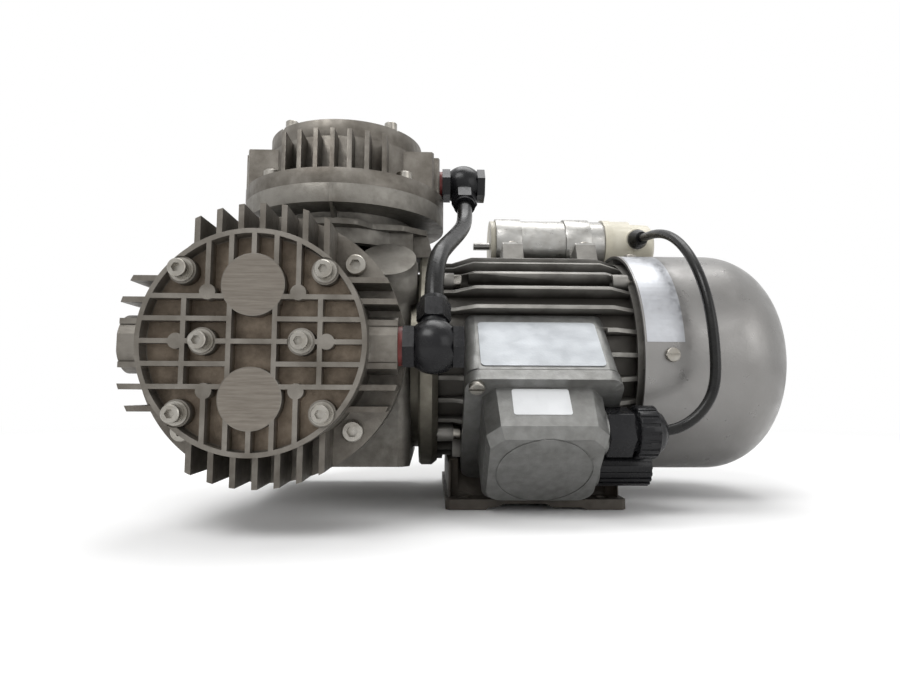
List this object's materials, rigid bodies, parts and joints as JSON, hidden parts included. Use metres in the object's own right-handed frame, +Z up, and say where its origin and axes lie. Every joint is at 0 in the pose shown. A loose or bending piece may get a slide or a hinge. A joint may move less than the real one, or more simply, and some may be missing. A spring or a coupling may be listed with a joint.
{
  "type": "diaphragm vacuum pump",
  "caption": "Oil-free diaphragm vacuum pump: finned heads at a right angle on one crankcase, joined by a hose, driven by a fan-cooled motor with terminal box and capacitor.",
  "frame": {"origin": "centre of the four foot holes, on the underside of the motor base", "axes": "+X along the motor axis from the crankcase to the fan, -Y towards the front head, +Z up"},
  "size_m": [0.3165, 0.1945, 0.2068],
  "materials": {
    "cast_aluminium": "raw casting, slightly stained",
    "machined_aluminium": "turned",
    "motor_paint": "semi-gloss dark paint",
    "cowl_paint": "semi-gloss grey-brown paint",
    "base_iron": "dark painted casting",
    "box_aluminium": "raw casting",
    "screw_steel": "zinc plated",
    "machine_steel": "ground",
    "core_steel": "laminated",
    "copper_wire": "enamelled wire",
    "can_aluminium": "drawn, satin",
    "cream_plastic": "slightly yellowed",
    "black_plastic": "moulded",
    "fan_plastic": "moulded",
    "block_plastic": "moulded",
    "black_rubber": "matt",
    "red_rubber": "matt",
    "membrane_rubber": "fabric-backed",
    "spring_steel": "thin strip"
  },
  "bodies": {
    "pump": {"crankcase": "cast_aluminium", "crankcase_cover": "cast_aluminium", "crankcase_cover_screws": "screw_steel", "adapter_flange": "motor_paint", "adapter_screws": "screw_steel", "cover_screws": "screw_steel", "cover_washers": "screw_steel", "head_screws": "screw_steel", "head_orings": "black_rubber", "valve_flaps": "spring_steel", "valve_rivets": "screw_steel", "motor_bearings": "machine_steel", "stator_core": "core_steel", "stator_windings": "copper_wire", "motor_frame": "motor_paint", "end_shield_screws": "screw_steel", "rear_end_shield": "motor_paint", "fan_cowl": "cowl_paint", "cowl_screws": "screw_steel", "motor_base": "base_iron", "base_screws": "screw_steel", "terminal_pedestal": "box_aluminium", "terminal_gasket": "black_rubber", "terminal_cover": "box_aluminium", "terminal_cover_screws": "screw_steel", "terminal_block": "block_plastic", "cable_gland_body": "black_plastic", "cable_gland_nut": "black_plastic", "blanking_plug": "black_plastic", "capacitor_can": "can_aluminium", "capacitor_caps": "cream_plastic", "capacitor_clamps": "can_aluminium", "capacitor_clamp_screws": "screw_steel", "cable_grommet": "black_rubber", "fitting_seals": "red_rubber", "banjo_bolts": "black_plastic", "banjo_bodies": "black_plastic", "hose_nuts": "black_plastic", "hose": "black_rubber", "lead_cable": "black_rubber", "front_head_cover": "cast_aluminium", "front_head_plate": "cast_aluminium", "front_diaphragm": "membrane_rubber", "upper_head_cover": "cast_aluminium", "upper_head_plate": "cast_aluminium", "upper_diaphragm": "membrane_rubber"},
    "rotor": {"motor_shaft": "machine_steel", "rotor_core": "core_steel", "fan": "fan_plastic", "crank_eccentric": "machine_steel", "crank_counterweight": "machine_steel", "crank_screws": "screw_steel"},
    "front_rod": {"front_connecting_rod": "machined_aluminium", "front_rod_bearing": "machine_steel", "front_clamp_disc": "machined_aluminium", "front_clamp_screw": "screw_steel"},
    "upper_rod": {"upper_connecting_rod": "machined_aluminium", "upper_rod_bearing": "machine_steel", "upper_clamp_disc": "machined_aluminium", "upper_clamp_screw": "screw_steel"}
  },
  "joints": [
    {"name": "crank_spin", "type": "hinge", "parent": "pump", "child": "rotor", "pos_m": [-0.1205, 0, 0.076], "axis": [1, 0, 0], "continuous": true},
    {"name": "front_rod_swing", "type": "hinge", "parent": "rotor", "child": "front_rod", "pos_m": [-0.1205, -0.00212, 0.07812], "axis": [1, 0, 0], "continuous": true, "deforming": ["front_diaphragm"]},
    {"name": "upper_rod_swing", "type": "hinge", "parent": "rotor", "child": "upper_rod", "pos_m": [-0.103, -0.00212, 0.07812], "axis": [1, 0, 0], "continuous": true, "deforming": ["upper_diaphragm"]}
  ],
  "couplings": [
    {"joint": "front_rod_swing", "follows": "crank_spin", "ratio": -1},
    {"joint": "upper_rod_swing", "follows": "crank_spin", "ratio": -1}
  ]
}
